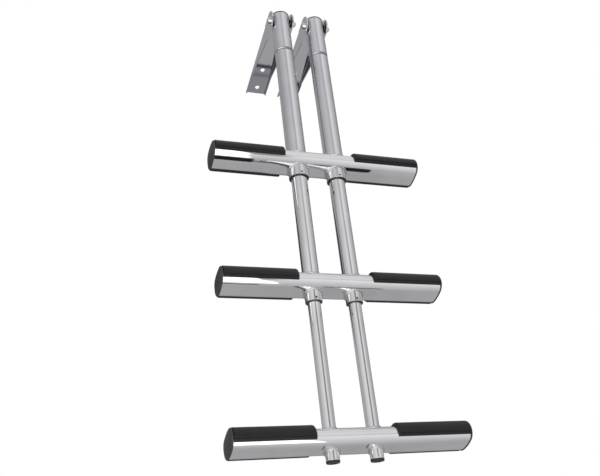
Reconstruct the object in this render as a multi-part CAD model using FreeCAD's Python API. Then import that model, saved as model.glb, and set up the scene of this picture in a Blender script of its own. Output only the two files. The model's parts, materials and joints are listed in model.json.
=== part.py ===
import FreeCAD, Part
import math
import os

# Folding telescopic ladder: three steps on twin poles, hung from two channel brackets. Millimetres.
# X runs along the steps (left is -X), the front is -Y and Z is up.
# The bracket mounting faces lie on Z = 0 and the origin is midway between the four mounting holes.
# Parts are modelled with the fold axis on the X axis and the poles upright, then leaned and moved.

V = FreeCAD.Vector
X_AXIS, Y_AXIS, Z_AXIS = V(1, 0, 0), V(0, 1, 0), V(0, 0, 1)
OVER = 5.0                   # how far a cutter runs past the material
REACH = 60.0                 # half size of cutting boxes, beyond any section they trim


class Section:
    """One telescopic stage: its pole tubes and the height of its step below the fold axis."""

    def __init__(self, diameter, wall, step, stub):
        self.outer = diameter / 2.0
        self.inner = self.outer - wall
        self.wall = wall
        self.step = step         # centre of the step
        self.end = step - stub   # lower end of the tubes


UPPER = Section(diameter=31.75, wall=1.5, step=-297.7, stub=27.5)
MIDDLE = Section(diameter=25.4, wall=1.2, step=-509.5, stub=26.5)
LOWER = Section(diameter=19.05, wall=1.2, step=-735.5, stub=25.0)

# Poles
POLE_SPACING = 64.0          # between the axes of the left and right poles
LEFT_POLE, RIGHT_POLE = -POLE_SPACING / 2.0, POLE_SPACING / 2.0
POLES = (LEFT_POLE, RIGHT_POLE)
LEAN = 12.0                  # degrees from square to the mounting face
UPPER_TUBE_TOP = 10.0
GROOVE_Z = UPPER_TUBE_TOP - 81.5     # middle of the rolled groove in the upper tubes
GROOVE_WIDTH, GROOVE_DEPTH = 4.6, 1.3
GROOVE_STEPS = 8
LOWER_CHAMFER, UPPER_CHAMFER = 0.25, 0.3     # ends of the middle and lower tubes

# Guides between the tubes
FIT = 0.05                   # radial running clearance
UPPER_BUSH_TOP = UPPER.step + 35.0
MIDDLE_BUSH_TOP = MIDDLE.step + 45.0
SLIDER_RISE = 25.0           # slider top above the guide bush it rests over
SLIDER_GAP = 0.2             # between slider and guide bush
SLIDER_RIM = 2.0             # slider thickness over the tube end
BUSH_FLANGE = 1.0            # guide bush thickness under the tube end
RIVET_R = 1.6
RIVET_RISE = 4.0             # rivet above the tube end
RIVET_SUNK = 0.35            # rivet face below the tube surface

# Steps
STEP_HALF = 170.0            # half length of a step tube
STEP_A, STEP_B = 22.2, 13.5  # half width and half height of its four-arc oval
STEP_R = 12.7                # radius of the oval's two end arcs
STEP_WALL = 1.5
STEP_TILT = -18.6            # degrees, the oval's long axis against a square line across the poles
WELD_R = 2.0
WELD_POLE_HALF = 45.0        # half length of the pole stand-ins used to shape the welds

BIG_R = (STEP_A ** 2 - 2 * STEP_A * STEP_R + STEP_B ** 2) / (2 * (STEP_B - STEP_R))
BIG_C = BIG_R - STEP_B       # the flat arcs' centres, from the oval's centre
END_C = STEP_A - STEP_R      # the end arcs' centres, from the oval's centre
JOIN_ANGLE = math.atan2(BIG_C, END_C)    # where end arc and flat arc meet

# Treads
TREAD_T = 4.9                # thickness over the step tube
TREAD_LIP_T = 2.9            # thickness of the lips round the front and the rear
TREAD_INNER_X, TREAD_OUTER_X = 58.7, 169.4
TREAD_ROUND = 2.6            # rounding of the inner end
LIP_SETBACK = 1.2            # lips start this far outside the inner end
FRONT_EDGE, REAR_EDGE = -5.0, -2.8   # levels where the thick part stops, from the oval's centre
FRONT_LIP, REAR_LIP = -7.4, -9.5     # levels where the lips end
LIP_TOP = 4.0                # lips run up inside the thick part to this level
RIB_PITCH, RIB_GROOVE, RIB_DEPTH = 5.2, 1.8, 0.9

# Step end caps
CAP_RIM, CAP_RISE = 2.9, 1.9 # rim overhang, and how far the rim is raised
CAP_FLAT = 0.3               # straight part of the rim
CAP_ROUND = 2.0
CAP_DOME = 3.8
CAP_SKIRT, CAP_SKIRT_WALL = 14.0, 2.0
CAP_FLOOR = 1.0              # closed part of the skirt at the tube end

# Bracket channels, measured from the fold axis
CHANNEL_WIDTH = 39.5
CHANNEL_HALF = CHANNEL_WIDTH / 2.0
CHANNEL_T = 2.0
CHANNEL_TOP = 16.5           # mounting face
CHANNEL_END = 174.0
CHANNEL_END_LOW = 10.5       # lower edge of the side wings near the far end
WING_TAPER_START, WING_TAPER_END = 26.0, 132.0
EAR_R = 16.5
WEB_START = 24.0
BEND_IN = 1.0
BEND_OUT = BEND_IN + CHANNEL_T
BOLT_HOLE_R = 4.25
BOLT_HOLES = (118.0, 160.0)
ORIGIN_Y = sum(BOLT_HOLES) / 2.0

# Fold pivots
PIVOT_R = 3.0
PIVOT_HOLE_CLEAR, WASHER_CLEAR, BUSH_CLEAR = 0.1, 0.02, 0.06     # radial
WASHER_R, WASHER_T = 6.2, 1.2
HEAD_R, HEAD_H = 5.4, 3.4
HEAD_EDGE = 0.6              # straight edge of the bolt head
HEAD_FLAT_R = 2.5            # flat on top of the bolt head
HEAD_STEPS = 9
SOCKET_WIDTH, SOCKET_DEPTH = 4.0, 2.0
BOLT_STICK_OUT = 1.5
BOLT_TIP = 0.8               # chamfer of the bolt's end
NUT_WIDTH, NUT_H = 10.0, 6.0
NUT_HEX_H = 4.6
PIVOT_BUSH_R = 5.0
PIVOT_FLANGE_R, PIVOT_FLANGE_T = 6.8, 1.8
PIVOT_BUSH_DEPTH = 9.0


# ---------------------------------------------------------------- helpers
def x_cylinder(radius, x0, x1):
    return Part.makeCylinder(radius, x1 - x0, V(x0, 0, 0), X_AXIS)


def y_cylinder(radius, length, x, y, z):
    return Part.makeCylinder(radius, length, V(x, y, z), Y_AXIS)


def z_cylinder(radius, x, y, z0, z1):
    return Part.makeCylinder(radius, z1 - z0, V(x, y, z0), Z_AXIS)


def box(x0, x1, y0, y1, z0, z1):
    return Part.makeBox(x1 - x0, y1 - y0, z1 - z0, V(x0, y0, z0))


def polygon_face(points):
    return Part.Face(Part.makePolygon(points + [points[0]]))


def revolve_z(profile, x):
    """Turn (radius, height) points about a pole axis at x."""
    face = polygon_face([V(radius, 0, z) for radius, z in profile])
    solid = face.revolve(V(0, 0, 0), Z_AXIS, 360)
    solid.translate(V(x, 0, 0))
    return solid


def revolve_x(profile, x0, direction=1):
    """Turn (distance from x0, radius) points about the fold axis."""
    face = polygon_face([V(x0 + direction * along, 0, radius) for along, radius in profile])
    return face.revolve(V(0, 0, 0), X_AXIS, 360)


def hexagon_prism(x0, width, length):
    """Hexagonal bar along the fold axis, width across its flats."""
    corner = width / 2.0 / math.cos(math.radians(30))
    angles = [math.radians(60 * k + 30) for k in range(6)]
    points = [V(x0, corner * math.cos(a), corner * math.sin(a)) for a in angles]
    return polygon_face(points).extrude(V(length, 0, 0))


def path_face(stops):
    """Face bounded by straight lines between stops; a stop is one point or the three of an arc."""
    edges = []
    for k, stop in enumerate(stops):
        edges.append(Part.makeLine(stops[k - 1][-1], stop[0]))
        if len(stop) == 3:
            edges.append(Part.Arc(*stop).toShape())
    return Part.Face(Part.Wire(edges))


def clean(shape):
    """Merge split faces and keep the largest solid."""
    return max(shape.removeSplitter().Solids, key=lambda solid: solid.Volume)


def try_fillet(shape, radius, edges):
    """Fillet the edges, or return the shape as it is if the kernel can't round them."""
    try:
        rounded = shape.makeFillet(radius, edges)
        if rounded.isValid() and rounded.Volume > 0:
            return rounded
    except Exception:
        pass
    return shape


# ---------------------------------------------------------------- mounting channels
def channel_bend(side, radius, start, end):
    """Three points of a fold's arc, with the angles in degrees."""
    angles = [math.radians(a) for a in (start, (start + end) / 2.0, end)]
    centre_x, centre_z = side * (CHANNEL_HALF - BEND_OUT), CHANNEL_TOP - BEND_OUT
    return [V(centre_x + radius * math.cos(a), 0, centre_z + radius * math.sin(a)) for a in angles]


def channel(pole_x):
    half, inner = CHANNEL_HALF, CHANNEL_HALF - CHANNEL_T
    # Side view, with a round ear about the fold axis
    side_view = path_face([
        [V(0, CHANNEL_END, CHANNEL_TOP)],
        [V(0, CHANNEL_END, CHANNEL_END_LOW)],
        [V(0, WING_TAPER_END, CHANNEL_END_LOW)],
        [V(0, WING_TAPER_START, -EAR_R)],
        [V(0, 0, -EAR_R), V(0, -EAR_R, 0), V(0, 0, EAR_R)],
    ])
    outline = side_view.extrude(V(CHANNEL_WIDTH, 0, 0))
    outline.translate(V(-half, 0, 0))
    # Folded sheet section, open underneath
    low = -EAR_R - OVER
    sheet = path_face([
        channel_bend(-1, BEND_OUT, 180, 90),
        channel_bend(1, BEND_OUT, 90, 0),
        [V(half, 0, low)],
        [V(inner, 0, low)],
        channel_bend(1, BEND_IN, 0, 90),
        channel_bend(-1, BEND_IN, 90, 180),
        [V(-inner, 0, low)],
        [V(-half, 0, low)],
    ])
    folded = sheet.extrude(V(0, CHANNEL_END - WEB_START + OVER, 0))
    folded.translate(V(0, WEB_START, 0))
    folded = folded.common(outline)
    # Ears: side walls alone, without the web
    left_ear, right_ear = [outline.common(box(x0, x1, -REACH, WEB_START, -REACH, REACH))
                           for x0, x1 in ((-half, -inner), (inner, half))]
    solid = folded.fuse(left_ear.fuse(right_ear))
    solid = solid.cut(x_cylinder(PIVOT_R + PIVOT_HOLE_CLEAR, -half - OVER, half + OVER))
    for y in BOLT_HOLES:
        hole = z_cylinder(BOLT_HOLE_R, 0, y, CHANNEL_TOP - CHANNEL_T - OVER, CHANNEL_TOP + OVER)
        solid = solid.cut(hole)
    solid = clean(solid)
    solid.translate(V(pole_x, 0, 0))
    return solid


# ---------------------------------------------------------------- fold pivot hardware
def pivot_bolt(pole_x):
    """Bolt with a low domed socket head on the left of its bracket."""
    head_x = pole_x - CHANNEL_HALF - WASHER_T
    end = pole_x + CHANNEL_HALF + WASHER_T + NUT_H + BOLT_STICK_OUT
    profile = [(0, 0), (0, HEAD_R)]
    for k in range(HEAD_STEPS + 1):
        angle = math.radians(90.0 * k / HEAD_STEPS)
        profile.append((HEAD_EDGE + (HEAD_H - HEAD_EDGE) * math.sin(angle),
                        HEAD_FLAT_R + (HEAD_R - HEAD_FLAT_R) * math.cos(angle)))
    profile.append((HEAD_H, 0))
    head = revolve_x(profile, head_x, -1)
    shank = x_cylinder(PIVOT_R, head_x - 0.5, end - BOLT_TIP)
    tip = Part.makeCone(PIVOT_R, PIVOT_R - BOLT_TIP, BOLT_TIP, V(end - BOLT_TIP, 0, 0), X_AXIS)
    socket = hexagon_prism(head_x - HEAD_H - OVER, SOCKET_WIDTH, OVER + SOCKET_DEPTH)
    return clean(head.fuse(shank).fuse(tip).cut(socket))


def washer(x0):
    x1 = x0 + WASHER_T
    bore = x_cylinder(PIVOT_R + WASHER_CLEAR, x0 - OVER, x1 + OVER)
    return x_cylinder(WASHER_R, x0, x1).cut(bore)


def lock_nut(x0):
    body = hexagon_prism(x0, NUT_WIDTH, NUT_H)
    # Round envelope: (distance from the washer, radius)
    envelope = revolve_x([
        (0, 0), (0, 5.3), (0.7, 5.85), (4.1, 5.85), (NUT_HEX_H, 4.8),
        (5.5, 4.6), (NUT_H, 4.1), (NUT_H, 0),
    ], x0)
    nut = body.common(envelope)
    # The hexagon stops short and a round collar goes on
    collar = x_cylinder(5.0, x0 + 4.4, x0 + NUT_H)
    nut = nut.cut(box(x0 + NUT_HEX_H, x0 + NUT_H + OVER, -REACH, REACH, -REACH, REACH))
    nut = nut.fuse(envelope.common(collar))
    return clean(nut.cut(x_cylinder(PIVOT_R, x0 - OVER, x0 + NUT_H + OVER)))


def pivot_bush(pole_x, side):
    """Flanged bush in the cross hole of an upper tube."""
    face = pole_x + side * UPPER.outer
    flange_end = pole_x + side * (UPPER.outer + PIVOT_FLANGE_T)
    sleeve_end = pole_x + side * (UPPER.outer - PIVOT_BUSH_DEPTH)
    flange = x_cylinder(PIVOT_FLANGE_R, *sorted((face, flange_end)))
    sleeve = x_cylinder(PIVOT_BUSH_R, *sorted((face, sleeve_end)))
    far = UPPER.outer + PIVOT_FLANGE_T + OVER
    bore = x_cylinder(PIVOT_R + BUSH_CLEAR, pole_x - far, pole_x + far)
    return clean(flange.fuse(sleeve).cut(bore))


def mount_parts():
    washer_starts = [x - CHANNEL_HALF - WASHER_T for x in POLES] + [x + CHANNEL_HALF for x in POLES]
    return {
        "left_bracket": channel(LEFT_POLE),
        "right_bracket": channel(RIGHT_POLE),
        "pivot_bolts": Part.makeCompound([pivot_bolt(x) for x in POLES]),
        "pivot_washers": Part.makeCompound([washer(x) for x in washer_starts]),
        "pivot_lock_nuts": Part.makeCompound(
            [lock_nut(x + CHANNEL_HALF + WASHER_T) for x in POLES]),
    }


# ---------------------------------------------------------------- telescopic tubes
def groove(radius):
    """(radius, height) points of the rolled groove in a wall of the given radius, going up."""
    points = []
    for k in range(GROOVE_STEPS + 1):
        part = k / GROOVE_STEPS
        sink = GROOVE_DEPTH * 0.5 * (1 - math.cos(2 * math.pi * part))
        points.append((radius - sink, GROOVE_Z - GROOVE_WIDTH / 2.0 + GROOVE_WIDTH * part))
    return points


def rivet_hole(x, tube):
    """Cutter through the front wall of a tube near its lower end."""
    return y_cylinder(RIVET_R, tube.wall + 2 * OVER, x, -tube.outer - OVER, tube.end + RIVET_RISE)


def upper_tube(x):
    outer, inner, low, chamfer = UPPER.outer, UPPER.inner, UPPER.end, 0.3
    solid = revolve_z(
        [(outer - chamfer, low), (outer, low + chamfer)] + groove(outer)
        + [(outer, UPPER_TUBE_TOP), (inner, UPPER_TUBE_TOP)] + groove(inner)[::-1]
        + [(inner, low)], x)
    solid = solid.cut(x_cylinder(PIVOT_BUSH_R, x - outer - OVER, x + outer + OVER))
    return clean(solid.cut(rivet_hole(x, UPPER)))


def plain_tube(x, tube, top):
    outer, inner, low = tube.outer, tube.inner, tube.end
    return revolve_z([
        (inner, low), (outer - LOWER_CHAMFER, low), (outer, low + LOWER_CHAMFER),
        (outer, top - UPPER_CHAMFER), (outer - UPPER_CHAMFER, top), (inner, top),
    ], x)


def bush_rivet(x, tube):
    """Short rivet through the front of a tube into its guide bush, with a shallow cup in its face."""
    y, z = -tube.outer + RIVET_SUNK, tube.end + RIVET_RISE
    rivet = y_cylinder(RIVET_R, tube.wall + 0.75, x, y, z)
    cup = Part.makeSphere(2.2, V(x, y - 1.75, z))
    return clean(rivet.cut(cup))


def guide_bush(x, tube, inner_tube, top):
    """Sleeve in the lower mouth of a tube, with a flange over the tube end."""
    outer, sleeve, bore = tube.outer, tube.inner, inner_tube.outer + FIT
    end = tube.end
    low = end - BUSH_FLANGE
    solid = revolve_z([
        (bore + 0.5, low), (outer - 0.9, low), (outer, low + 0.6), (outer, end - 0.001),
        (outer - 0.02, end), (sleeve, end), (sleeve, top - 0.6), (sleeve - 0.5, top),
        (bore, top), (bore, low + 0.5),
    ], x)
    # Blind seat for the rivet
    return clean(solid.cut(y_cylinder(RIVET_R, 1.25, x, -sleeve - 0.05, end + RIVET_RISE)))


def slider(x, tube, outer_tube, low, top):
    """Sleeve on the top end of a tube, with a rim over the end and a short spigot inside."""
    outer = outer_tube.inner - FIT
    bore = tube.inner - 2.2
    tube_top = top - SLIDER_RIM
    spigot_end = tube_top - 9.0
    return revolve_z([
        (tube.outer, low), (outer - 0.4, low), (outer, low + 0.6),
        (outer, top - 0.8), (outer - 0.8, top), (bore, top),
        (bore, spigot_end), (tube.inner, spigot_end), (tube.inner, tube_top), (tube.outer, tube_top),
    ], x)


def top_cap(x):
    """Slightly domed cap with a short skirt inside the upper tube."""
    rim, inner, z = UPPER.outer + 0.35, UPPER.inner, UPPER_TUBE_TOP
    return revolve_z([
        (0, z + 2.9), (6, z + 2.85), (11, z + 2.7), (14.4, z + 2.4), (UPPER.outer, z + 1.9),
        (rim, z + 1.3), (rim, z), (inner, z),
        (inner, z - 3.0), (inner - 1.6, z - 3.0), (inner - 1.6, z), (0, z),
    ], x)


def foot_plug(x):
    """Plug in the lower tube's end, recessed in the middle of its underside."""
    outer, inner, z = LOWER.outer, LOWER.inner, LOWER.end
    return revolve_z([
        (0, z - 1.4), (4.2, z - 1.4), (4.6, z - 3.2), (outer - 0.9, z - 3.2), (outer, z - 2.4),
        (outer, z), (inner, z), (inner, z + 14.0), (inner - 1.5, z + 14.0), (inner - 1.5, z), (0, z),
    ], x)


# ---------------------------------------------------------------- steps
def step_place(shape, height):
    """Turn a shape made on the step's own axes into its tilted place on the poles."""
    placed = shape.copy()
    placed.rotate(V(0, 0, 0), X_AXIS, STEP_TILT)
    placed.translate(V(0, 0, height))
    return placed


def oval_wire(offset, x, scale=1.0):
    """Oval parallel to the step tube's outside, then scaled about its centre."""
    end_r, big_r = STEP_R + offset, BIG_R + offset
    join, pi = JOIN_ANGLE, math.pi
    # Centre y, centre z, radius, start angle, end angle
    arcs = [
        (END_C, 0.0, end_r, -join, join),
        (0.0, -BIG_C, big_r, join, pi - join),
        (-END_C, 0.0, end_r, pi - join, pi + join),
        (0.0, BIG_C, big_r, pi + join, 2 * pi - join),
    ]
    edges = []
    for y, z, radius, start, end in arcs:
        points = [V(x, scale * (y + radius * math.cos(a)), scale * (z + radius * math.sin(a)))
                  for a in (start, (start + end) / 2.0, end)]
        edges.append(Part.Arc(*points).toShape())
    return Part.Wire(edges)


def oval(offset, x0, x1):
    return Part.Face(oval_wire(offset, x0)).extrude(V(x1 - x0, 0, 0))


def oval_top(y, offset):
    """Height and slope angle at y of the upper side of the oval at this offset."""
    end_r, big_r = STEP_R + offset, BIG_R + offset
    if abs(y) <= END_C + end_r * math.cos(JOIN_ANGLE):
        return -BIG_C + math.sqrt(big_r ** 2 - y ** 2), -math.asin(y / big_r)
    from_centre = abs(y) - END_C
    slope = -math.copysign(math.asin(from_centre / end_r), y)
    return math.sqrt(end_r ** 2 - from_centre ** 2), slope


def step_tube(height, pole_r):
    """Oval tube with weld fillets round both poles, bored for the poles."""
    fused = step_place(oval(0.0, -STEP_HALF, STEP_HALF), height)
    for x in POLES:
        fused = fused.fuse(
            z_cylinder(pole_r, x, 0, height - WELD_POLE_HALF, height + WELD_POLE_HALF))
    fused = fused.removeSplitter()
    # Seams: edges within a pole's width, clear of the stand-ins' ends
    seams = []
    for edge in fused.Edges:
        b = edge.BoundBox
        on_pole = any(b.XMin > x - pole_r - 0.4 and b.XMax < x + pole_r + 0.4 for x in POLES)
        if on_pole and b.ZMin > height - 40 and b.ZMax < height + 40 and b.ZLength < 30:
            seams.append(edge)
    solid = try_fillet(fused, WELD_R, seams)
    well_half = WELD_POLE_HALF + OVER
    for x in POLES:
        solid = solid.cut(z_cylinder(pole_r + 0.02, x, 0, height - well_half, height + well_half))
    hollow = oval(-STEP_WALL, -STEP_HALF - OVER, STEP_HALF + OVER)
    return clean(solid.cut(step_place(hollow, height)))


def tread(height, side):
    """Grooved cover over the top of one end of a step, with thin lips at front and rear."""
    x0, x1 = sorted((side * TREAD_INNER_X, side * TREAD_OUTER_X))
    cut_x0, cut_x1 = x0 - OVER, x1 + OVER
    core = oval(0.0, cut_x0, cut_x1)
    outer = oval(TREAD_T, x0, x1)
    inner_x = side * TREAD_INNER_X
    end_edges = [edge for edge in outer.Edges
                 if abs(edge.BoundBox.XMin - inner_x) < 0.01
                 and abs(edge.BoundBox.XMax - inner_x) < 0.01]
    solid = try_fillet(outer, TREAD_ROUND, end_edges).cut(core)
    solid = solid.cut(box(cut_x0, cut_x1, -REACH, 0, -REACH, FRONT_EDGE))
    solid = solid.cut(box(cut_x0, cut_x1, 0, REACH, -REACH, REAR_EDGE))
    lip_x0, lip_x1 = sorted((side * (TREAD_INNER_X + LIP_SETBACK), side * TREAD_OUTER_X))
    lips = oval(TREAD_LIP_T, lip_x0, lip_x1).cut(core)
    front = lips.common(box(cut_x0, cut_x1, -REACH, 0, FRONT_LIP, LIP_TOP))
    rear = lips.common(box(cut_x0, cut_x1, 0, REACH, REAR_LIP, LIP_TOP))
    solid = solid.fuse(front).fuse(rear)
    # Seven shallow grooves leave ribs along the standing face
    for k in range(-3, 4):
        y = k * RIB_PITCH
        top, slope = oval_top(y, TREAD_T)
        cutter = box(cut_x0, cut_x1, -RIB_GROOVE / 2.0, RIB_GROOVE / 2.0, -RIB_DEPTH, RIB_DEPTH)
        cutter.rotate(V(0, 0, 0), X_AXIS, math.degrees(slope))
        cutter.translate(V(0, y, top))
        solid = solid.cut(cutter)
    return step_place(clean(solid), height)


def end_cap(height, side):
    """Plug with a rounded rim, a shallow domed face and a hollow skirt inside the step tube."""
    x = STEP_HALF
    rim = oval(CAP_RIM, x, x + CAP_FLAT)
    rim.translate(V(0, 0, CAP_RISE))
    # Rounded edge, then the dome shrinking towards the centre
    wires = []
    for degrees in (0.0, 18.0, 36.0, 54.0, 70.0):
        angle = math.radians(degrees)
        offset = CAP_RIM - CAP_ROUND * (1 - math.cos(angle))
        wire_x = x + CAP_FLAT + CAP_ROUND * math.sin(angle)
        wires.append(oval_wire(offset, wire_x))
    for inward in (0.2, 0.4, 0.6, 0.8, 0.93):
        rise = CAP_DOME * (1 - (1 - inward) ** 2)
        wires.append(oval_wire(offset, wire_x + rise, 1.0 - inward))
    face = Part.makeLoft(wires, True, True)
    face.translate(V(0, 0, CAP_RISE))
    skirt = oval(-STEP_WALL, x - CAP_SKIRT, x)
    hollow = oval(-STEP_WALL - CAP_SKIRT_WALL, x - CAP_SKIRT - OVER, x - CAP_FLOOR)
    solid = clean(rim.fuse(face).fuse(skirt).cut(hollow))
    if side < 0:
        solid = solid.mirror(V(0, 0, 0), X_AXIS)
    return step_place(solid, height)


# ---------------------------------------------------------------- assembly
def pole_parts(x):
    """Parts of one pole, from the top cap to the foot."""
    upper_slider_top = UPPER_BUSH_TOP + SLIDER_RISE
    lower_slider_top = MIDDLE_BUSH_TOP + SLIDER_RISE
    middle_tube = plain_tube(x, MIDDLE, upper_slider_top - SLIDER_RIM)
    return {
        "upper_tube": upper_tube(x),
        "top_cap": top_cap(x),
        "pivot_bushes": Part.makeCompound([pivot_bush(x, -1), pivot_bush(x, 1)]),
        "upper_guide_bush": guide_bush(x, UPPER, MIDDLE, UPPER_BUSH_TOP),
        "middle_tube": clean(middle_tube.cut(rivet_hole(x, MIDDLE))),
        "middle_slider": slider(x, MIDDLE, UPPER, UPPER_BUSH_TOP + SLIDER_GAP, upper_slider_top),
        "middle_guide_bush": guide_bush(x, MIDDLE, LOWER, MIDDLE_BUSH_TOP),
        "lower_tube": plain_tube(x, LOWER, lower_slider_top - SLIDER_RIM),
        "lower_slider": slider(x, LOWER, MIDDLE, MIDDLE_BUSH_TOP + SLIDER_GAP, lower_slider_top),
        "foot_plug": foot_plug(x),
    }


def ladder_parts():
    parts = {}
    for side, x in (("left", LEFT_POLE), ("right", RIGHT_POLE)):
        for name, shape in pole_parts(x).items():
            parts[side + "_" + name] = shape
    for name, section in (("upper", UPPER), ("middle", MIDDLE)):
        parts[name + "_bush_rivets"] = Part.makeCompound([bush_rivet(x, section) for x in POLES])
    for name, section in (("upper", UPPER), ("middle", MIDDLE), ("lower", LOWER)):
        parts[name + "_step"] = step_tube(section.step, section.outer)
        for side_name, side in (("left", -1), ("right", 1)):
            prefix = name + "_" + side_name
            parts[prefix + "_tread"] = tread(section.step, side)
            parts[prefix + "_end_cap"] = end_cap(section.step, side)
    return parts


def export(parts, lean):
    """Lean the parts about the fold axis, move them to the mounting frame and write them."""
    for name, shape in parts.items():
        placed = shape.copy()
        placed.rotate(V(0, 0, 0), X_AXIS, lean)
        placed.translate(V(0, -ORIGIN_Y, -CHANNEL_TOP))
        placed.exportStep("parts/%s.step" % name)


os.makedirs("parts", exist_ok=True)
export(mount_parts(), 0.0)
export(ladder_parts(), LEAN)
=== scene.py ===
# A folding three-step ladder on two poles of stepped diameter, hanging from its fold axis.
# World axes in metres: x runs along the steps (+x right), -y is the front, +z is up.
# The poles lean in the y-z plane. Shapes are laid out in mm on the ladder's own axes, with
# z up the poles and 0 on the fold axis.
import bpy
import bmesh
import json
import math
from mathutils import Matrix, Vector


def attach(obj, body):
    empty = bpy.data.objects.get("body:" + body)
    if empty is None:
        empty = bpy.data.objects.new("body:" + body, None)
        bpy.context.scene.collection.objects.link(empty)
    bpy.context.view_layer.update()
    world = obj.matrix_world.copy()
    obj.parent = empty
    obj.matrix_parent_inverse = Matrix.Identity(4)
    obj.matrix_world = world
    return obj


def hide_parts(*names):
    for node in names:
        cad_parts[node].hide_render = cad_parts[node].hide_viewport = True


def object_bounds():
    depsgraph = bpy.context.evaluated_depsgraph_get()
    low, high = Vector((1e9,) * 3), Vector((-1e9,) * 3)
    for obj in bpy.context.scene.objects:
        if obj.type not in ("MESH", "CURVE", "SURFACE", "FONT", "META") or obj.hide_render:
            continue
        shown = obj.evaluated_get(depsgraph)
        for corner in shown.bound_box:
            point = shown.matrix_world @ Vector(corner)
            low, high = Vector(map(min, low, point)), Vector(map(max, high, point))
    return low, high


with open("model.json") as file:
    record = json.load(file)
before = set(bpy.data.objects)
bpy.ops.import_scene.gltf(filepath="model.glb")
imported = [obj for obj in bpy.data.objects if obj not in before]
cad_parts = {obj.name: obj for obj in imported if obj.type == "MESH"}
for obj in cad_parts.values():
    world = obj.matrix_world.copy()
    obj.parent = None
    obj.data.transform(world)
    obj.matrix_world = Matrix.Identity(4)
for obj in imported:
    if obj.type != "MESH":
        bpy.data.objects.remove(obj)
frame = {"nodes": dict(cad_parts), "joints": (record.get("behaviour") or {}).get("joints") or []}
scene = bpy.context.scene
CAD_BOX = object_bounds()
MID = (CAD_BOX[0] + CAD_BOX[1]) / 2
JOINTS = {joint["name"]: joint for joint in frame["joints"]}
AXIS = Vector(JOINTS["ladder_fold"]["pos_m"])             # on the fold axis, midway between the poles
UP = Vector(JOINTS["middle_slide"]["axis"]).normalized()  # along the poles
LEAN = math.atan2(-UP.y, UP.z)

# ------------------------------------------------------------------ sizes in mm
POLE_X = 32.0                       # from the middle to each pole's centre line
POLE_GROOVE_Z = -71.5               # rolled groove in the upper poles
POLE_GROOVE_HALF = 3.1

# section: (step height, pole radius, puddles in one weld bead)
STEPS = {
    "upper": (-297.7, 15.875, 44),
    "middle": (-509.5, 12.7, 36),
    "lower": (-735.5, 9.525, 28),
}
STEP_HALF = 170.0                   # half of a step's length
TILT = math.radians(-18.6)          # of a step's section against the poles
# a step's section is an oval of two end arcs and two flat arcs
OVAL_DEPTH, OVAL_THICK = 22.2, 13.5                       # half sizes
END_R = 12.7
FLAT_R = (OVAL_DEPTH ** 2 - 2 * OVAL_DEPTH * END_R + OVAL_THICK ** 2) / (2 * (OVAL_THICK - END_R))
END_CENTRE, FLAT_CENTRE = OVAL_DEPTH - END_R, FLAT_R - OVAL_THICK
END_SPAN = math.atan2(FLAT_CENTRE, END_CENTRE)            # half the angle of an end arc

REAR, FRONT = 1, -1                 # sides of a step's section
TREAD_T, TREAD_LIP_T = 4.9, 2.9     # thickness of the ribbed part and of the lips
TREAD_INNER_X, TREAD_OUTER_X = 58.7, 169.4
TREAD_EDGE = {REAR: -2.8, FRONT: -5.0}                    # level where the thick part ends
TREAD_LIP = {REAR: -9.5, FRONT: -7.4}                     # level where the lip ends
TREAD_INNER_ROUND, TREAD_OUTER_ROUND = 2.6, 0.6
TREAD_GROOVE_PITCH, TREAD_GROOVE_HALF, TREAD_GROOVE_DEPTH = 5.2, 0.95, 0.9
TREAD_FADE_LENGTH = 5.5             # length over which the grooves begin

CAP_SEAT = 0.03                     # gap between a cap's flange and the step's end
CAP_RIM, CAP_RISE, CAP_EDGE, CAP_ROUND, CAP_DOME = 2.9, 1.9, 0.30, 2.0, 3.75


def turned(angle, a, b):
    """The pair (a, b) turned by an angle in its plane."""
    c, s = math.cos(angle), math.sin(angle)
    return a * c - b * s, a * s + b * c


def ladder_point(x, y, z):
    """A point on the ladder's own axes (mm) to the world in metres."""
    return AXIS + Vector((x, *turned(LEAN, y, z))) / 1000.0


def step_point(x, across, out, height):
    """A point of a step's section (across the standing face, square out of it) to the world."""
    y, z = turned(TILT, across, out)
    return ladder_point(x, y, height + z)


def oval(offset, facing):
    """Point where the oval parallel to a step's outside faces along an angle."""
    facing = (facing + math.pi) % (2 * math.pi) - math.pi
    c, s = math.cos(facing), math.sin(facing)
    if abs(facing) <= END_SPAN:
        return Vector((END_CENTRE + (END_R + offset) * c, (END_R + offset) * s))
    if abs(facing) >= math.pi - END_SPAN:
        return Vector((-END_CENTRE + (END_R + offset) * c, (END_R + offset) * s))
    centre = -math.copysign(FLAT_CENTRE, facing)
    return Vector(((FLAT_R + offset) * c, centre + (FLAT_R + offset) * s))


def oval_distance(across, out):
    """Signed distance of a point in a step's section from the step's outside."""
    across, out = abs(across), abs(out)
    if math.atan2(out + FLAT_CENTRE, across) <= END_SPAN:
        return math.hypot(across - END_CENTRE, out) - END_R
    return math.hypot(across, out + FLAT_CENTRE) - FLAT_R


def oval_angles(start, end, count, offset=0.0, samples=1200):
    """Facing angles from start to end spaced evenly along the oval's length."""
    fine = [start + (end - start) * i / samples for i in range(samples + 1)]
    points = [oval(offset, angle) for angle in fine]
    run = [0.0]
    for i in range(samples):
        run.append(run[-1] + (points[i + 1] - points[i]).length)
    angles, j = [], 0
    for i in range(count):
        wanted = run[-1] * i / (count - 1)
        while j < samples - 1 and run[j + 1] < wanted:
            j += 1
        part = (wanted - run[j]) / max(run[j + 1] - run[j], 1e-9)
        angles.append(fine[j] + part * (fine[j + 1] - fine[j]))
    return angles


# ------------------------------------------------------------------ shader helpers
NO_TURN = (0, 0, 0)
POLE_TURN = (-LEAN, 0.0, 0.0)             # poles' own axes: z up the pole
STEP_TURN = (-(LEAN + TILT), 0.0, 0.0)    # steps' own axes: x along, z out of the standing face


def scaled(values, factor):
    return tuple(factor * value for value in values)


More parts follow.
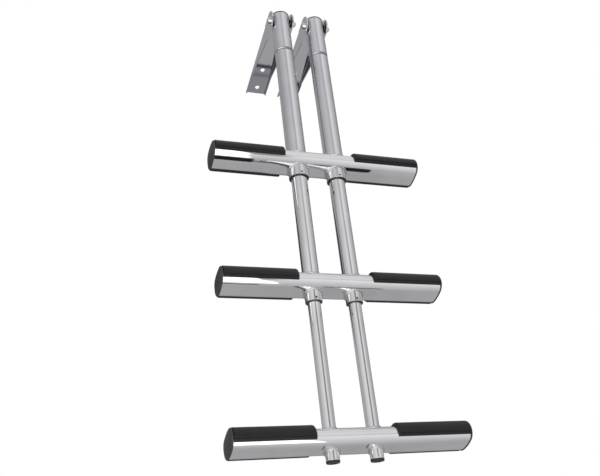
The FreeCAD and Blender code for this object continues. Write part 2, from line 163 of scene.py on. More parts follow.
def lightened(colour, factor):
    return tuple(min(1, factor * value) for value in colour)


class ShaderNet:
    """An emptied node tree with an output; inputs take sockets, values or RGB triples."""

    def __init__(self, owner, output_kind):
        owner.use_nodes = True
        self.tree = owner.node_tree
        self.tree.nodes.clear()
        self.surface = self.put(output_kind).inputs[0]

    def put(self, kind, inputs=None, **props):
        node = self.tree.nodes.new(kind)
        for name, value in props.items():
            setattr(node, name, value)
        for key, value in (inputs or {}).items():
            self.wire(value, node.inputs[key])
        return node

    def wire(self, value, socket):
        if value is None:
            return
        if hasattr(value, "is_output"):
            self.tree.links.new(value, socket)
        elif socket.type == "RGBA":
            socket.default_value = (*value, 1.0)
        else:
            socket.default_value = value

    def shader(self, kind, inputs=None):
        return self.put(kind, inputs).outputs[0]

    def math(self, operation, *values):
        return self.put("ShaderNodeMath", dict(enumerate(values)), operation=operation).outputs[0]

    def add(self, a, b):
        return self.math("ADD", a, b)

    def sub(self, a, b):
        return self.math("SUBTRACT", a, b)

    def mul(self, a, b):
        return self.math("MULTIPLY", a, b)

    def vary(self, value, pattern, middle, gain):
        """Value plus a pattern's swing about its middle."""
        return self.add(value, self.mul(self.sub(pattern, middle), gain))

    def dot(self, vector, axis):
        inputs = {0: vector, 1: tuple(axis)}
        return self.put("ShaderNodeVectorMath", inputs, operation="DOT_PRODUCT").outputs["Value"]

    def linear(self, value, start, end, low=0.0, high=1.0, **props):
        inputs = dict(enumerate((value, start, end, low, high)))
        return self.put("ShaderNodeMapRange", inputs, clamp=True, **props).outputs[0]

    def smooth(self, value, start, end, low=0.0, high=1.0):
        return self.linear(value, start, end, low, high, interpolation_type="SMOOTHSTEP")

    def ring(self, turn, stops):
        """Grey levels round a full turn, from (degrees, level) stops beginning at 0."""
        node = self.put("ShaderNodeValToRGB", {0: turn})
        elements = node.color_ramp.elements
        node.color_ramp.interpolation = "LINEAR"
        while len(elements) > 1:
            elements.remove(elements[-1])
        for i, (degrees, level) in enumerate(stops):
            element = elements.new(degrees / 360.0) if i else elements[0]
            element.position = degrees / 360.0
            element.color = (level, level, level, 1.0)
        return node.outputs[0]

    def mix(self, factor, a, b, blend="MIX"):
        inputs = {0: factor, 6: a, 7: b}
        return self.put("ShaderNodeMix", inputs, data_type="RGBA", blend_type=blend).outputs[2]

    def mix_value(self, factor, a, b):
        return self.put("ShaderNodeMix", {0: factor, 2: a, 3: b}, data_type="FLOAT").outputs[0]

    def position(self):
        return self.put("ShaderNodeTexCoord").outputs["Object"]

    def coords(self, scale, turn=NO_TURN, shift=(0, 0, 0)):
        """Object coordinates turned first, then scaled and shifted; scale is a number or triple."""
        if not isinstance(scale, tuple):
            scale = (scale,) * 3
        first = self.put("ShaderNodeMapping", {"Vector": self.position(), "Rotation": turn},
                         vector_type="POINT")
        second = self.put("ShaderNodeMapping",
                          {"Vector": first.outputs[0], "Scale": scale, "Location": shift},
                          vector_type="POINT")
        return second.outputs[0]

    def noise(self, scale, detail, rough, turn=NO_TURN, shift=(0, 0, 0), distortion=0.0):
        return self.put("ShaderNodeTexNoise", {
            "Vector": self.coords(scale, turn, shift), "Scale": 1.0,
            "Detail": detail, "Roughness": rough, "Distortion": distortion,
        }).outputs["Fac"]

    def bump(self, height, strength, distance, normal):
        return self.put("ShaderNodeBump", {
            "Strength": strength, "Distance": distance, "Height": height, "Normal": normal,
        }).outputs[0]

    def bevel(self, radius):
        return self.put("ShaderNodeBevel", {"Radius": radius}, samples=4).outputs[0]


def new_material(name):
    material = bpy.data.materials.new(name)
    return material, ShaderNet(material, "ShaderNodeOutputMaterial")


# ------------------------------------------------------------------ steel
def painted_groove_shade(net, cloud):
    """Mask of the painted shade in the poles' groove, fainter on the left of each pole."""
    position = net.position()
    half, fade = POLE_GROOVE_HALF / 1000.0, 0.0007
    height = net.sub(net.dot(position, UP), AXIS.dot(UP) + POLE_GROOVE_Z / 1000.0)
    band = net.mul(net.smooth(height, -half, -half + fade), net.smooth(height, half, half - fade))
    band = net.mul(band, net.linear(cloud, 0.25, 0.55, low=0.80, high=1.0))

    def faint_left(from_pole):
        return net.smooth(from_pole, -0.012, -0.001, low=0.45, high=1.0)

    side = net.dot(position, (1.0, 0.0, 0.0))
    from_left = net.add(side, POLE_X / 1000.0)
    from_right = net.sub(side, POLE_X / 1000.0)
    left = net.math("MINIMUM", faint_left(from_left), net.smooth(from_left, 0.030, 0.020))
    right = net.mul(net.smooth(from_right, -0.020, -0.018), faint_left(from_right))
    return net.mul(band, net.math("MAXIMUM", left, right))


def steel(name, tint, rough, rough_swing, grain_scale, grain_bump, wave_bump, smudge,
          grain_turn=NO_TURN, wave_scale=(28, 28, 9), edge=0.0004, dark_spots=0.0, grooved=False):
    """Stainless: grain lines, slow waviness, handling marks, worn bright edges, painted shade in the poles' groove."""
    material, net = new_material(name)
    grain = net.noise(grain_scale, detail=3.0, rough=0.62, turn=grain_turn)
    fine = net.noise(scaled(grain_scale, 3.1), detail=2.0, rough=0.5,
                     turn=grain_turn, shift=(3.0, 1.0, 2.0))
    lines = net.add(net.mul(grain, 0.65), net.mul(fine, 0.35))
    cloud = net.noise(34, detail=4.0, rough=0.55, distortion=0.4)
    wave = net.noise(wave_scale, detail=1.0, rough=0.4, turn=grain_turn)

    # sparse longer scratches, slightly off the grain and only in patches
    scratch = net.noise(scaled(grain_scale, 0.45), detail=1.0, rough=0.5,
                        turn=(grain_turn[0] + 0.05, 0.03, 0.02), shift=(7, 5, 3))
    scratch = net.smooth(scratch, 0.70, 0.78)
    patches = net.smooth(net.noise(55, detail=2.0, rough=0.5, shift=(4, 2, 9)), 0.45, 0.75)
    scratch = net.mul(net.mul(scratch, patches), 0.25)

    # edges that handling has rubbed bright
    geometry = net.put("ShaderNodeNewGeometry")
    bright_edge = net.smooth(geometry.outputs["Pointiness"], 0.53, 0.62)

    # roughness follows the grain, smudges and scratches, and drops on worn edges
    roughness = net.vary(rough, lines, middle=0.5, gain=rough_swing)
    roughness = net.vary(roughness, cloud, middle=0.45, gain=smudge * 2.0)
    roughness = net.add(roughness, net.mul(scratch, 0.18))
    roughness = net.sub(roughness, net.mul(bright_edge, rough * 0.3))
    roughness = net.math("MAXIMUM", roughness, 0.03)

    # colour: cloudy, lighter along the grain and on worn edges
    colour = net.mix(net.linear(cloud, 0.3, 0.7), scaled(tint, 0.90), tint)
    colour = net.mix(net.mul(net.linear(lines, 0.35, 0.7), 0.30), colour, lightened(tint, 1.07))
    if dark_spots:
        spots = net.smooth(net.noise(160, detail=3.0, rough=0.6, shift=(1, 6, 2)), 0.66, 0.76)
        colour = net.mix(net.mul(spots, dark_spots), colour, scaled(tint, 0.55))
    colour = net.mix(net.mul(bright_edge, 0.5), colour, lightened(tint, 1.14))
    if grooved:
        # painted shade: the groove band is darkened in the colour and made rougher, fainter on the left of each pole
        groove_shade = painted_groove_shade(net, cloud)
        colour = net.mix(net.mul(groove_shade, 0.80), colour, (0.13, 0.13, 0.155))
        roughness = net.add(roughness, net.mul(groove_shade, 0.16))

    normal = net.bevel(edge) if edge else None
    normal = net.bump(wave, strength=wave_bump, distance=0.0008, normal=normal)
    normal = net.bump(lines, strength=grain_bump, distance=0.00005, normal=normal)
    normal = net.bump(scratch, strength=0.25, distance=0.00005, normal=normal)
    net.wire(net.shader("ShaderNodeBsdfPrincipled", {
        "Metallic": 1.0, "Base Color": colour, "Roughness": roughness, "Normal": normal,
    }), net.surface)
    return material


POLE_SATIN = steel(
    "pole_upper_steel", tint=(0.70, 0.70, 0.725), rough=0.17, rough_swing=0.10,
    grain_turn=POLE_TURN, grain_scale=(900, 900, 16), grain_bump=0.16, wave_bump=0.05,
    smudge=0.05, dark_spots=0.12, grooved=True)
POLE_POLISHED = steel(
    "pole_polished_steel", tint=(0.76, 0.76, 0.775), rough=0.085, rough_swing=0.05,
    grain_turn=POLE_TURN, grain_scale=(1100, 1100, 14), grain_bump=0.08, wave_bump=0.05,
    smudge=0.03)
POLE_BRIGHT = steel(
    "pole_bright_steel", tint=(0.93, 0.93, 0.94), rough=0.075, rough_swing=0.05,
    grain_turn=POLE_TURN, grain_scale=(1200, 1200, 13), grain_bump=0.07, wave_bump=0.04,
    smudge=0.03)
STEP_POLISHED = steel(
    "step_polished_steel", tint=(0.75, 0.75, 0.765), rough=0.065, rough_swing=0.045,
    grain_turn=STEP_TURN, grain_scale=(14, 1000, 1000), grain_bump=0.06, wave_bump=0.06,
    smudge=0.03, wave_scale=(9, 30, 30))
BRACKET_BRUSHED = steel(
    "bracket_brushed_steel", tint=(0.66, 0.665, 0.685), rough=0.055, rough_swing=0.06,
    grain_scale=(1500, 22, 1500), grain_bump=0.07, wave_bump=0.03,
    smudge=0.06, dark_spots=0.20, edge=0.0003)
FASTENER = steel(
    "fastener_steel", tint=(0.72, 0.72, 0.73), rough=0.16, rough_swing=0.10,
    grain_scale=(420, 420, 420), grain_bump=0.15, wave_bump=0.02,
    smudge=0.04, edge=0.00025)
WELD = steel(
    "weld_steel", tint=(0.60, 0.585, 0.57), rough=0.26, rough_swing=0.12,
    grain_scale=(600, 600, 600), grain_bump=0.25, wave_bump=0.05,
    smudge=0.08, edge=0.0, dark_spots=0.5)


# ------------------------------------------------------------------ rubber and plastic
def plastic(name, base, edge_wear_and_highlight, rough, grain, grain_bump, dust, specular=0.45, streaks=0.0):
    """Moulded black rubber or plastic: fine grain, dust in the hollows, lighter convex edges that are partly rubbed
    wear and partly a painted highlight.
    """
    material, net = new_material(name)
    speckle = net.noise(grain, detail=3.0, rough=0.6)
    cells = net.put("ShaderNodeTexVoronoi", {"Vector": net.coords(grain * 0.62), "Scale": 1.0},
                    feature="SMOOTH_F1")
    cloud = net.noise(42, detail=4.0, rough=0.6, distortion=0.5)
    streak = net.noise((12, 260, 260), detail=2.0, rough=0.5, turn=STEP_TURN)
    pointiness = net.put("ShaderNodeNewGeometry").outputs["Pointiness"]
    bright_edge = net.smooth(pointiness, 0.52, 0.62)
    hollow = net.smooth(pointiness, 0.485, 0.43)

    colour = net.mix(net.linear(cloud, 0.3, 0.7), scaled(base, 0.8), scaled(base, 1.2))
    # convex edges lightened: partly rubbed wear, partly a painted highlight line along the edges
    colour = net.mix(net.mul(bright_edge, 0.35), colour, edge_wear_and_highlight)
    dusty = net.mul(net.mul(hollow, dust), net.linear(cloud, 0.35, 0.7))
    colour = net.mix(dusty, colour, (0.16, 0.16, 0.155))

    roughness = net.vary(rough, cloud, middle=0.5, gain=0.16)
    roughness = net.vary(roughness, speckle, middle=0.5, gain=0.14)
    roughness = net.vary(roughness, streak, middle=0.5, gain=streaks)
    roughness = net.sub(roughness, net.mul(bright_edge, 0.05))

    texture = net.add(net.mul(speckle, 0.6), net.mul(cells.outputs["Distance"], 0.5))
    normal = net.bump(texture, strength=grain_bump, distance=0.0001, normal=net.bevel(0.0004))
    net.wire(net.shader("ShaderNodeBsdfPrincipled", {
        "Base Color": colour, "Roughness": roughness,
        "Specular IOR Level": specular, "Normal": normal,
    }), net.surface)
    return material


TREAD_RUBBER = plastic(
    "tread_rubber", base=(0.010, 0.010, 0.0112), edge_wear_and_highlight=(0.06, 0.06, 0.062), rough=0.40,
    grain=1500, grain_bump=0.22, specular=0.30, dust=0.30, streaks=0.08)
CAP_PLASTIC = plastic(
    "end_cap_plastic", base=(0.040, 0.040, 0.043), edge_wear_and_highlight=(0.10, 0.10, 0.105), rough=0.50,
    grain=1100, grain_bump=0.40, dust=0.25)
NYLON = plastic(
    "nylon_black", base=(0.010, 0.010, 0.011), edge_wear_and_highlight=(0.04, 0.04, 0.042), rough=0.38,
    grain=1300, grain_bump=0.18, dust=0.2)


# ------------------------------------------------------------------ mesh helpers
def add_object(name, data):
    added = bpy.data.objects.new(name, data)
    scene.collection.objects.link(added)
    return added


def piece(name, verts, faces, material, body, crease=None):
    """Smooth-shaded piece riding on a body; edges bent past crease (degrees) stay sharp."""
    mesh = bpy.data.meshes.new(name)
    mesh.from_pydata([tuple(vert) for vert in verts], [], faces)
    bm = bmesh.new()
    bm.from_mesh(mesh)
    bmesh.ops.recalc_face_normals(bm, faces=bm.faces)
    if crease is not None:
        for edge in bm.edges:
            if len(edge.link_faces) == 2 and edge.calc_face_angle(0.0) > math.radians(crease):
                edge.smooth = False
    for face in bm.faces:
        face.smooth = True
    bm.to_mesh(mesh)
    bm.free()
    mesh.update()
    made = add_object(name, mesh)
    mesh.materials.append(material)
    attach(made, body)
    return made


def loft(loops, wrap=False, first=0):
    """Quads between successive closed loops; wrap joins last to first, numbers start at first."""
    verts = [vert for loop in loops for vert in loop]
    size = len(loops[0])
    faces = []
    for k in range(len(loops) if wrap else len(loops) - 1):
        here = first + k * size
        there = first + (k + 1) % len(loops) * size
        for i in range(size):
            j = (i + 1) % size
            faces.append((here + i, here + j, there + j, there + i))
    return verts, faces


# ------------------------------------------------------------------ treads
# point counts round a tread's section
N_THICK, N_THIN, N_BEND, N_IN = 181, 9, 6, 61
N_LIP_OUT, N_LIP_IN = 7, 6
N_LIP = N_LIP_OUT + N_LIP_IN
N_OUT = N_THICK + 2 * (N_THIN + 2 * N_BEND)


def level_angle(offset, level, side):
    """Facing angle at which the parallel oval's rear or front end arc is at a level."""
    angle = math.asin(level / (END_R + offset))
    return angle if side == REAR else math.pi - angle


def level_point(offset, level, side):
    return oval(offset, level_angle(offset, level, side))


def bend(start, corner, end, count):
    """Quadratic curve from start to end, pulled towards the corner."""
    points = []
    for i in range(count):
        f = i / (count - 1)
        points.append(start * (1 - f) ** 2 + corner * 2 * f * (1 - f) + end * f ** 2)
    return points


def lip_and_ledge(side, thick, thin):
    """Outside of one lip, from its end up to the thick part."""
    edge = TREAD_EDGE[side]
    soft = min(0.45, (thick - thin) * 0.4)
    start = level_angle(thin, TREAD_LIP[side] + 0.55, side)
    end = level_angle(thin, edge - 0.35, side)
    points = [oval(thin, start + (end - start) * i / (N_THIN - 1)) for i in range(N_THIN)]
    foot, top = level_point(thin, edge, side), level_point(thick, edge, side)
    ledge = foot + Vector((side * soft * 0.7, 0.0))
    points += bend(points[-1], foot, ledge, N_BEND + 1)[1:]
    first_thick = level_point(thick, edge + 0.5, side)
    points += bend(top - Vector((side * soft, 0.0)), top, first_thick, N_BEND + 1)[:-1]
    return points


def lip_end(side, thin, outer_end, inner_end):
    """Rounded end of one lip, from the outside of the section to its inside."""
    outer_corner = level_point(thin, TREAD_LIP[side], side)
    inner_corner = level_point(0.0, TREAD_LIP[side], side)
    along = (inner_corner - outer_corner).normalized()
    outer = bend(outer_end, outer_corner, outer_corner + along * 0.5, N_LIP_OUT + 1)[1:]
    inner = bend(inner_corner - along * 0.30, inner_corner, inner_end, N_LIP_IN + 1)[:-1]
    return outer + inner


def ribbed_point(offset, facing, groove):
    """Point of the thick part, sunk where one of seven grooves crosses the standing face."""
    point = oval(offset, facing)
    normal = Vector((math.cos(facing), math.sin(facing)))
    depth = 0.0
    if normal.y > 0.5:
        for i in range(-3, 4):
            part = abs(point.x - TREAD_GROOVE_PITCH * i) / TREAD_GROOVE_HALF
            if part < 1.0:
                depth = max(depth, groove * (1.0 - part ** 3.2))
    return point - normal * depth


def tread_section(inset, groove):
    """Closed outline of a tread: ribbed part, ledges and thinner lips, with soft corners."""
    thick = TREAD_T - inset
    thin = TREAD_LIP_T * thick / TREAD_T
    start = level_angle(thick, TREAD_EDGE[REAR] + 0.5, REAR)
    end = level_angle(thick, TREAD_EDGE[FRONT] + 0.5, FRONT)
    ribbed = [ribbed_point(thick, angle, groove)
              for angle in oval_angles(start, end, N_THICK, thick)]
    outer = (lip_and_ledge(REAR, thick, thin) + ribbed
             + lip_and_ledge(FRONT, thick, thin)[::-1])
    trim = 0.30 / END_R
    inner = [oval(0.0, angle) for angle in oval_angles(
        level_angle(0.0, TREAD_LIP[FRONT], FRONT) - trim,
        level_angle(0.0, TREAD_LIP[REAR], REAR) + trim, N_IN)]
    front = lip_end(FRONT, thin, outer[-1], inner[0])
    rear = lip_end(REAR, thin, outer[0], inner[-1])[::-1]
    return outer + front + inner + rear


def tread_stations():
    """Stations (x, inset, groove depth) from a tread's inner end to its outer end."""
    stations = []
    radius = TREAD_INNER_ROUND
    for i in range(9):
        angle = math.pi / 2 * i / 8
        stations.append((TREAD_INNER_X + radius * (1 - math.cos(angle)),
                         radius * (1 - math.sin(angle)), 0.0))
    for i in range(1, 7):
        run = radius + TREAD_FADE_LENGTH * i / 6
        f = max(0.0, min(1.0, (run - 3.8) / 3.8))
        stations.append((TREAD_INNER_X + run, 0.0, TREAD_GROOVE_DEPTH * (f * f * (3 - 2 * f))))
    start = TREAD_INNER_X + radius + TREAD_FADE_LENGTH
    end = TREAD_OUTER_X - TREAD_OUTER_ROUND
    for i in range(1, 14):
        stations.append((start + (end - start) * i / 13, 0.0, TREAD_GROOVE_DEPTH))
    for i in range(1, 5):
        angle = math.pi / 2 * i / 4
        stations.append((end + TREAD_OUTER_ROUND * math.sin(angle),
                         TREAD_OUTER_ROUND * (1 - math.cos(angle)), TREAD_GROOVE_DEPTH))
    return stations


def tread_end_faces(base, size):
    """Faces closing one end: a strip between outside and inside, and one face at each lip."""
    faces = []
    inner_last = N_OUT + N_LIP + N_IN - 1
    i = j = 0
    while i < N_OUT - 1 or j < N_IN - 1:
        outer, inner = base + i, base + inner_last - j
        outer_leads = (i + 1) / (N_OUT - 1) <= (j + 1) / (N_IN - 1)
        if j >= N_IN - 1 or (i < N_OUT - 1 and outer_leads):
            faces.append((outer, outer + 1, inner))
            i += 1
        else:
            faces.append((outer, inner - 1, inner))
            j += 1
    faces.append(tuple(range(base + N_OUT - 1, base + N_OUT + N_LIP + 1)))
    faces.append((*range(base + inner_last, base + size), base))
    return faces


def tread(prefix, side, side_name):
    height = STEPS[prefix][0]
    node = "%s_%s_tread" % (prefix, side_name)
    loops = [[step_point(side * x, p.x, p.y, height) for p in tread_section(inset, groove)]
             for x, inset, groove in tread_stations()]
    verts, faces = loft(loops)
    size = len(loops[0])
    for base in (0, (len(loops) - 1) * size):
        faces += tread_end_faces(base, size)
    moulding = piece(node + "_moulding", verts, faces, TREAD_RUBBER, prefix + "_section",
                     crease=38)
    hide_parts(node)


# ------------------------------------------------------------------ end caps
# plug inside the step and flange against its end:
# (distance beyond the step's end, offset from the step's outside, scale about the centre)
CAP_PLUG = (
    (-1.0, -4.2, 0.0005), (-1.0, -4.2, 0.5), (-1.0, -4.15, 1.0), (-1.6, -3.55, 1.0),
    (-13.4, -3.45, 1.0), (-14.0, -3.05, 1.0), (-14.0, -2.2, 1.0), (-13.4, -1.68, 1.0),
    (-12.6, -1.55, 1.0), (-4.0, -1.55, 1.0), (CAP_SEAT, -1.5, 1.0), (CAP_SEAT, 1.2, 1.0),
    (CAP_SEAT, CAP_RIM - CAP_EDGE, 1.0),
)
CAP_POINTS = 112


def cap_profile():
    """The plug's stations, then the rim's two rounds and the domed face."""
    profile = list(CAP_PLUG)
    for i in range(1, 5):
        angle = math.pi / 2 * i / 4
        profile.append((CAP_SEAT + (CAP_EDGE - CAP_SEAT) * (1 - math.cos(angle)),
                        CAP_RIM - CAP_EDGE + CAP_EDGE * math.sin(angle), 1.0))
    for i in range(1, 15):
        angle = math.radians(72.0 * i / 14)
        profile.append((CAP_EDGE + CAP_ROUND * math.sin(angle),
                        CAP_RIM - CAP_ROUND * (1 - math.cos(angle)), 1.0))
    face_x, face_offset = profile[-1][:2]
    # a fine sunk ring where the face begins, then the shallow dome
    for i in range(1, 31):
        f = i / 30.0
        dip = 0.16 * math.exp(-((f - 0.10) / 0.022) ** 2)
        scale = 1.0 - f if i < 30 else 0.0005
        profile.append((face_x + CAP_DOME * (1 - (1 - f) ** 2) - dip, face_offset, scale))
    return profile


def end_cap(prefix, side, side_name):
    height = STEPS[prefix][0]
    node = "%s_%s_end_cap" % (prefix, side_name)
    loops = []
    outlines = {}
    for x, offset, scale in cap_profile():
        if offset not in outlines:
            angles = oval_angles(0.0, 2 * math.pi, CAP_POINTS + 1, offset)[:-1]
            outlines[offset] = [oval(offset, angle) for angle in angles]
        rise = CAP_RISE if x > 0.02 else 0.0       # only the part outside the step sits higher
        loops.append([step_point(side * (STEP_HALF + x), scale * p.x, scale * p.y + rise, height)
                      for p in outlines[offset]])
    verts, faces = loft(loops)
    last = (len(loops) - 1) * CAP_POINTS
    faces.append(tuple(range(CAP_POINTS))[::-1])
    faces.append(tuple(range(last, last + CAP_POINTS)))
    moulding = piece(node + "_moulding", verts, faces, CAP_PLASTIC, prefix + "_section",
                     crease=50)
    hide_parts(node)


# ------------------------------------------------------------------ weld beads where the poles pass through the steps
WELD_STEPS, WELD_SIDES = 220, 12    # points along a bead and round it


def seam_height(y, height, sign):
    """Height of a step's surface at depth y, on its upper (+1) or lower (-1) side."""
    middle_z = math.tan(TILT) * y   # the oval's mid line at this depth
    low, high = 0.0, 45.0
    for _ in range(40):
        reach = (low + high) / 2
        if oval_distance(*turned(-TILT, y, middle_z + sign * reach)) < 0:
            low = reach
        else:
            high = reach
    return height + middle_z + sign * (low + high) / 2


def weld_bead(height, pole_radius, puddles, pole_x, sign):
    """Rings of points along one bead, swelling with its overlapping puddles."""
    ring_radius = pole_radius + 0.75
    centres = []
    for i in range(WELD_STEPS):
        turn = 2 * math.pi * i / WELD_STEPS
        y = ring_radius * math.sin(turn)
        z = seam_height(y, height, sign) + 0.55 * sign
        centres.append(Vector((pole_x + ring_radius * math.cos(turn), y, z)))
    rings = []
    for i, centre in enumerate(centres):
        turn = 2 * math.pi * i / WELD_STEPS
        tangent = (centres[(i + 1) % WELD_STEPS] - centres[i - 1]).normalized()
        up = tangent.cross(Vector((math.cos(turn), math.sin(turn), 0))).normalized()
        out = up.cross(tangent).normalized()
        phase = (puddles * turn / (2 * math.pi) + 0.10 * math.sin(5 * turn + pole_x)) % 1.0
        radius = (1.25 + 0.26 * (1 - phase) ** 0.7
                  + 0.09 * math.sin(3 * turn + 1.7 * sign + 0.05 * pole_x))
        ring = []
        for k in range(WELD_SIDES):
            angle = 2 * math.pi * k / WELD_SIDES
            ring.append(ladder_point(
                *(centre + (out * math.cos(angle) + up * math.sin(angle)) * radius)))
        rings.append(ring)
    return rings


def weld(prefix):
    verts, faces = [], []
    for pole_x in (-POLE_X, POLE_X):
        for sign in (1, -1):
            rings = weld_bead(*STEPS[prefix], pole_x, sign)
            bead_verts, bead_faces = loft(rings, wrap=True, first=len(verts))
            verts += bead_verts
            faces += bead_faces
    piece(prefix + "_step_weld_beads", verts, faces, WELD, prefix + "_section")


for prefix in STEPS:
    for side, side_name in ((-1, "left"), (1, "right")):
        tread(prefix, side, side_name)
        end_cap(prefix, side, side_name)
    weld(prefix)

# ------------------------------------------------------------------ finishes of the CAD nodes
# (end of the node's name, finish), first match wins
FINISHES = (
    ("_bracket", BRACKET_BRUSHED), ("_step", STEP_POLISHED),
    ("upper_tube", POLE_SATIN), ("lower_tube", POLE_BRIGHT), ("_tube", POLE_POLISHED),
    ("tread", TREAD_RUBBER), ("end_cap", CAP_PLASTIC),
)


def finish_of(name):
    if name in ("pivot_bolts", "pivot_washers", "pivot_lock_nuts"):
        return FASTENER
    for ending, finish in FINISHES:
        if name.endswith(ending):
            return finish
    return NYLON


for name, cad_object in frame["nodes"].items():
    cad_object.data.materials.clear()
    cad_object.data.materials.append(finish_of(name))

# ------------------------------------------------------------------ world: soft boxes and dark flags seen in the steel
# (degrees, light level) round the steps: 0 back, 90 up, 180 front, 270 down
ROUND_STEPS = ((0, 0.30), (60, 0.60), (150, 0.65), (185, 0.95), (240, 0.70),
               (300, 0.45), (335, 0.45), (360, 0.30))
# the same round the poles, at three elevations: 0 front, 90 right, 180 back, 270 left
POLES_HIGH = ((0, 0.55), (15, 0.90), (60, 0.65), (110, 0.30), (180, 0.40),
              (250, 0.40), (330, 0.70), (360, 0.55))
POLES_MID = ((0, 0.30), (15, 0.90), (60, 0.60), (120, 0.30), (180, 0.40),
             (250, 0.40), (340, 0.95), (360, 0.30))
POLES_LOW = ((0, 0.12), (20, 0.75), (60, 0.45), (120, 0.30), (250, 0.40),
             (335, 0.75), (347, 0.50), (360, 0.12))


def build_world():
    """Studio levels for reflected and diffuse light, plain white for the camera."""
    world = bpy.data.worlds.new("studio")
    scene.world = world
    net = ShaderNet(world, "ShaderNodeOutputWorld")
    generated = net.put("ShaderNodeTexCoord").outputs["Generated"]
    direction = net.put("ShaderNodeVectorMath", {0: generated}, operation="NORMALIZE").outputs[0]
    to_right, to_back, to_top = (net.dot(direction, axis)
                                 for axis in ((1, 0, 0), (0, 1, 0), (0, 0, 1)))
    along_poles = net.dot(direction, UP)
    behind_poles = net.dot(direction, UP.cross(Vector((1, 0, 0))))

    def turn(a, b):
        """atan2(a, b) as 0..1 of a full turn."""
        part = net.math("DIVIDE", net.math("ARCTAN2", a, b), 2 * math.pi)
        return net.math("FRACT", net.add(part, 1.0))

    def elevation(start, end):
        """Fade between two elevations (degrees) above the plane square to the poles."""
        return net.smooth(along_poles, math.sin(math.radians(start)),
                          math.sin(math.radians(end)))

    round_steps = turn(to_top, to_back)
    round_poles = turn(to_right, net.mul(behind_poles, -1.0))
    # dim strip in front, beside the soft box and left of the far right
    degrees = net.mul(round_steps, 360.0)
    dim = net.mul(net.smooth(degrees, 150.0, 172.0), net.smooth(degrees, 222.0, 208.0))
    dim = net.mul(dim, net.smooth(to_right, 0.315, 0.285))
    below = net.mix(net.mul(dim, 0.72), net.ring(round_steps, ROUND_STEPS), (0.085, 0.085, 0.09))
    above = net.mix(elevation(20, 37), net.ring(round_poles, POLES_MID),
                    net.ring(round_poles, POLES_HIGH))
    above = net.mix(elevation(23.0, 20.5), above, net.ring(round_poles, POLES_LOW))
    light = net.mix(elevation(2, 11), below, above)
    light = net.mix(elevation(46, 66), light, (0.80, 0.80, 0.81))     # overhead
    light = net.mix(1.0, light, (0.985, 0.985, 1.0), "MULTIPLY")      # faint cool tint
    studio = net.shader("ShaderNodeBackground", {"Color": light, "Strength": 1.0})
    white = net.shader("ShaderNodeBackground", {"Color": (1, 1, 1), "Strength": 1.0})
    camera_ray = net.put("ShaderNodeLightPath").outputs["Is Camera Ray"]
    net.wire(net.shader("ShaderNodeMixShader", {0: camera_ray, 1: studio, 2: white}), net.surface)


def area_light(name, offset, size, power):
    """Square light at an offset from the ladder's middle, aimed at it, unseen in the steel."""
    light = bpy.data.lights.new(name, "AREA")
    light.shape = "RECTANGLE"
    light.size = size
    light.size_y = size
    light.energy = power
    lamp = add_object(name, light)
    location = MID + Vector(offset)
    lamp.location = location
    lamp.rotation_mode = "QUATERNION"
    lamp.rotation_quaternion = (MID - location).to_track_quat("-Z", "Y")
    lamp.visible_glossy = False


build_world()
area_light("key_light", offset=(-1.2, -1.4, 1.9), size=1.6, power=26.0)
area_light("fill_light", offset=(1.6, -0.9, 0.5), size=1.4, power=8.0)


# ------------------------------------------------------------------ glowing cards seen only in reflections
def reflected_card(name, verts, faces, material):
    mesh = bpy.data.meshes.new(name)
    mesh.from_pydata(verts, [], faces)
    mesh.materials.append(material)
    card = add_object(name, mesh)
    card.visible_camera = False
    card.visible_diffuse = False
    card.visible_shadow = False
    card.visible_transmission = False


def glow(net, colour, strength):
    inputs = {"Color": colour, "Strength": strength}
    net.wire(net.shader("ShaderNodeEmission", inputs), net.surface)


# soft box: long level card low in front on the left, its right edge cut at a slant (metres)
BOX_LEFT_X, BOX_Z = -3.0, -0.9775
BOX_RIGHT_EDGE = ((0.058, 0.049), (0.089, -0.436), (0.270, -1.261), (0.790, -3.820))  # x, y


def soft_box():
    verts = [(x, AXIS.y + y, AXIS.z + BOX_Z)
             for edge_x, y in BOX_RIGHT_EDGE for x in (BOX_LEFT_X, edge_x)]
    faces = [(2 * i, 2 * i + 1, 2 * i + 3, 2 * i + 2) for i in range(len(BOX_RIGHT_EDGE) - 1)]
    material, net = new_material("soft_box_glow")
    glow(net, (1, 1, 1), strength=1.75)
    reflected_card("soft_box", verts, faces, material)


# grey flag: upright card behind the brackets (metres; y and z from the fold axis)
FLAG_Y, FLAG_TOP = 0.35, -0.0835
FLAG_LOW_MIDDLE, FLAG_LOW_RIGHT, FLAG_LOW_LEFT = -0.321, -0.2695, -0.3835
# left x, right x, lower edge
FLAG_PANELS = ((0.118, 0.45, FLAG_LOW_RIGHT), (0.0, 0.118, FLAG_LOW_MIDDLE),
               (-0.45, 0.0, FLAG_LOW_LEFT))


def flag_tone():
    """Grey with a dark bar on the lower edge, a fainter one above it, and dark on the left."""
    material, net = new_material("grey_flag_tone")
    position = net.put("ShaderNodeNewGeometry").outputs["Position"]
    x, _, z = net.put("ShaderNodeSeparateXYZ", {0: position}).outputs
    right = net.smooth(x, 0.112, 0.124)
    low_edge = net.mix_value(right, AXIS.z + FLAG_LOW_MIDDLE, AXIS.z + FLAG_LOW_RIGHT)
    above = net.sub(z, low_edge)
    # the bar fades out over a longer height on the right
    bar = net.smooth(above, net.mix_value(right, 0.016, 0.050),
                     net.mix_value(right, 0.011, 0.012))
    from_second = net.math("ABSOLUTE", net.sub(above, 0.043))
    second = net.mul(net.smooth(from_second, 0.009, 0.003), 0.45)
    colour = net.mix(bar, (0.30, 0.30, 0.32), (0.045, 0.045, 0.05))
    colour = net.mix(second, colour, (0.08, 0.08, 0.09))
    colour = net.mix(net.smooth(x, 0.0, -0.03), colour, (0.065, 0.065, 0.07))
    glow(net, colour, strength=1.0)
    return material


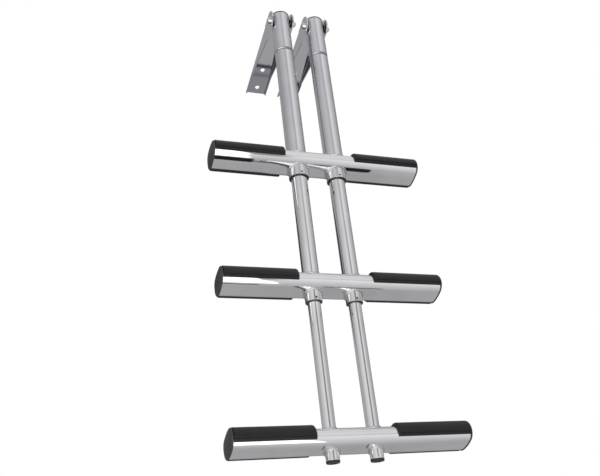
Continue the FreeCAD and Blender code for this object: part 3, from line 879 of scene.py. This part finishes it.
def grey_flag():
    verts, faces = [], []
    for left, right, low in FLAG_PANELS:
        faces.append(tuple(range(len(verts), len(verts) + 4)))
        for x, z in ((left, low), (right, low), (right, FLAG_TOP), (left, FLAG_TOP)):
            verts.append((x, AXIS.y + FLAG_Y, AXIS.z + z))
    reflected_card("grey_flag", verts, faces, flag_tone())


soft_box()
grey_flag()


# ------------------------------------------------------------------ floor: pale disc well below the ladder
def floor_pale():
    """Pale, faintly glowing; clear towards the rim and from below."""
    material, net = new_material("floor_pale")
    pale = net.shader("ShaderNodeBsdfPrincipled", {
        "Base Color": (0.86, 0.86, 0.865), "Roughness": 0.6,
        "Emission Color": (1, 1, 1), "Emission Strength": 0.28,
    })
    radius = net.put("ShaderNodeVectorMath", {0: net.position()}, operation="LENGTH")
    fade = net.smooth(radius.outputs["Value"], 1.1, 3.2)
    underside = net.put("ShaderNodeNewGeometry").outputs["Backfacing"]
    hide = net.math("MAXIMUM", fade, underside)
    clear = net.shader("ShaderNodeBsdfTransparent")
    net.wire(net.shader("ShaderNodeMixShader", {0: hide, 1: pale, 2: clear}), net.surface)
    return material


def build_floor(drop=0.62, radius=4.0):
    bm = bmesh.new()
    bmesh.ops.create_circle(bm, cap_ends=True, segments=96, radius=radius)
    mesh = bpy.data.meshes.new("floor")
    bm.to_mesh(mesh)
    bm.free()
    mesh.materials.append(floor_pale())
    floor = add_object("floor", mesh)
    floor.location = (MID.x, MID.y, CAD_BOX[0].z - drop)
    floor.visible_glossy = False


build_floor()

# ------------------------------------------------------------------ camera: low in front on the left, looking up
CAMERA_AXES = (                     # its right, up and backward directions
    (0.945731, -0.281324, -0.162636),
    (-0.05278, -0.626831, 0.777366),
    (-0.320637, -0.726595, -0.607661),
)
lens = bpy.data.cameras.new("camera")
lens.sensor_width = 36.0
lens.lens = 43.953
lens.shift_x = 0.006688
lens.shift_y = 0.007144
lens.clip_start = 0.01
lens.clip_end = 50.0
camera = add_object("camera", lens)
placing = Matrix(CAMERA_AXES).transposed().to_4x4()
placing.translation = Vector((-0.40161, -0.7073 + AXIS.y, -1.11355))
camera.matrix_world = placing
scene.camera = camera

scene.view_settings.view_transform = "Standard"
scene.view_settings.look = "None"
